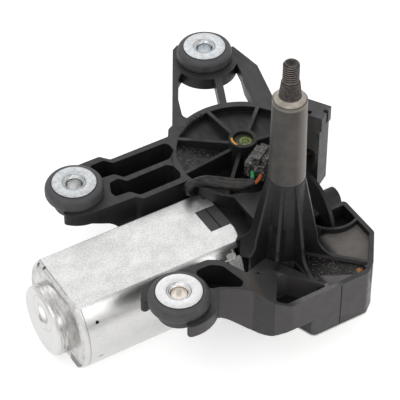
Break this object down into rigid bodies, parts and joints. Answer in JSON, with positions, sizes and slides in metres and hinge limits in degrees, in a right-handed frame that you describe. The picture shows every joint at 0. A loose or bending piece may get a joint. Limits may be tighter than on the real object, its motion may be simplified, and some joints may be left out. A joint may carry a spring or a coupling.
{
  "type": "wiper motor",
  "caption": "Rear-window wiper motor: plated can, black moulded gearbox with ribbed dome and rubber-mounted arms, steel spindle tube and threaded output spindle.",
  "frame": {"origin": "the point of the output spindle's axis that is level with the tops of the three mounting washers", "axes": "+Z along the output spindle towards its thread, +X along the motor from its closed end to the gearbox, +Y towards the back mount"},
  "size_m": [0.1813, 0.2005, 0.1675],
  "materials": {
    "housing_plastic": "moulded glass-filled plastic, dull black",
    "connector_plastic": "moulded black plastic",
    "brush_plate_plastic": "black phenolic plate",
    "cream_plastic": "cream bearing plastic",
    "wheel_plastic": "natural acetal",
    "rubber": "dull black rubber",
    "zinc_steel": "bright zinc plate",
    "can_steel": "drawn steel, dull zinc plate",
    "tube_steel": "grey-brown passivated steel",
    "spindle_steel": "dark oxide on ground steel",
    "ground_steel": "ground steel",
    "sintered_bronze": "oil-filled sintered bronze",
    "laminated_steel": "stack of laminations",
    "copper": "enamelled copper",
    "contact_brass": "stamped brass",
    "ferrite": "sintered ferrite",
    "carbon": "pressed carbon",
    "spring_steel": "spring wire",
    "sleeve_vinyl": "black soft vinyl",
    "green_vinyl": "green vinyl",
    "orange_vinyl": "orange vinyl"
  },
  "bodies": {
    "frame": {"axle_retaining_ring": "ground_steel", "bottom_cover": "zinc_steel", "brush_holder": "brush_plate_plastic", "brush_springs": "spring_steel", "can_end_bearing": "sintered_bronze", "carbon_brushes": "carbon", "choke_coils": "copper", "connector_housing": "connector_plastic", "connector_pins": "contact_brass", "cover_gasket": "rubber", "cover_screws": "zinc_steel", "end_play_plug": "ground_steel", "gearbox_housing": "housing_plastic", "grommet_back": "rubber", "grommet_front": "rubber", "grommet_left": "rubber", "lower_spindle_bush": "sintered_bronze", "magnet_back": "ferrite", "magnet_clips": "zinc_steel", "magnet_front": "ferrite", "middle_bearing": "sintered_bronze", "motor_can": "can_steel", "mount_washer_back": "zinc_steel", "mount_washer_front": "zinc_steel", "mount_washer_left": "zinc_steel", "park_contact_fingers": "contact_brass", "park_contact_plate": "brush_plate_plastic", "spacer_sleeve_back": "zinc_steel", "spacer_sleeve_front": "zinc_steel", "spacer_sleeve_left": "zinc_steel", "spindle_seal_ring": "rubber", "spindle_tube": "tube_steel", "upper_spindle_bush": "cream_plastic", "wheel_axle": "ground_steel", "wire_green": "green_vinyl", "wire_orange": "orange_vinyl", "wire_plug": "connector_plastic", "wire_sleeve": "sleeve_vinyl", "worm_end_bearing": "sintered_bronze"},
    "armature": {"armature_shaft": "ground_steel", "armature_core": "laminated_steel", "armature_windings": "copper", "commutator": "copper"},
    "worm_gear": {"worm_wheel": "wheel_plastic", "crank_pin": "ground_steel", "park_contact_ring": "contact_brass"},
    "spindle": {"output_spindle": "spindle_steel", "spindle_pinion": "ground_steel", "spindle_circlip": "ground_steel"},
    "rocker": {"rocker_plate": "ground_steel", "rocker_pin": "ground_steel"},
    "rod": {"toothed_rod": "ground_steel", "rod_bush": "sintered_bronze"}
  },
  "joints": [
    {"name": "armature_spin", "type": "hinge", "parent": "frame", "child": "armature", "pos_m": [0, 0.0405, -0.036], "axis": [1, 0, 0], "continuous": true},
    {"name": "worm_gear_spin", "type": "hinge", "parent": "frame", "child": "worm_gear", "pos_m": [0.0205, 0.0715, -0.036], "axis": [0, 0, 1], "continuous": true},
    {"name": "spindle_swing", "type": "hinge", "parent": "frame", "child": "spindle", "pos_m": [0, 0, 0], "axis": [0, 0, 1], "range_deg": [-60, 60]},
    {"name": "rocker_swing", "type": "hinge", "parent": "frame", "child": "rocker", "pos_m": [0, 0, -0.0487], "axis": [0, 0, 1], "range_deg": [-20, 20]},
    {"name": "rod_swing", "type": "hinge", "parent": "rocker", "child": "rod", "pos_m": [0.02391, 0.00209, -0.045], "axis": [0, 0, 1], "range_deg": [-20, 20]}
  ],
  "couplings": [
    {"joint": "worm_gear_spin", "follows": "armature_spin", "ratio": -0.023256},
    {"joint": "rocker_swing", "follows": "spindle_swing", "ratio": 0.33333},
    {"joint": "rod_swing", "follows": "spindle_swing", "ratio": -0.33333}
  ]
}
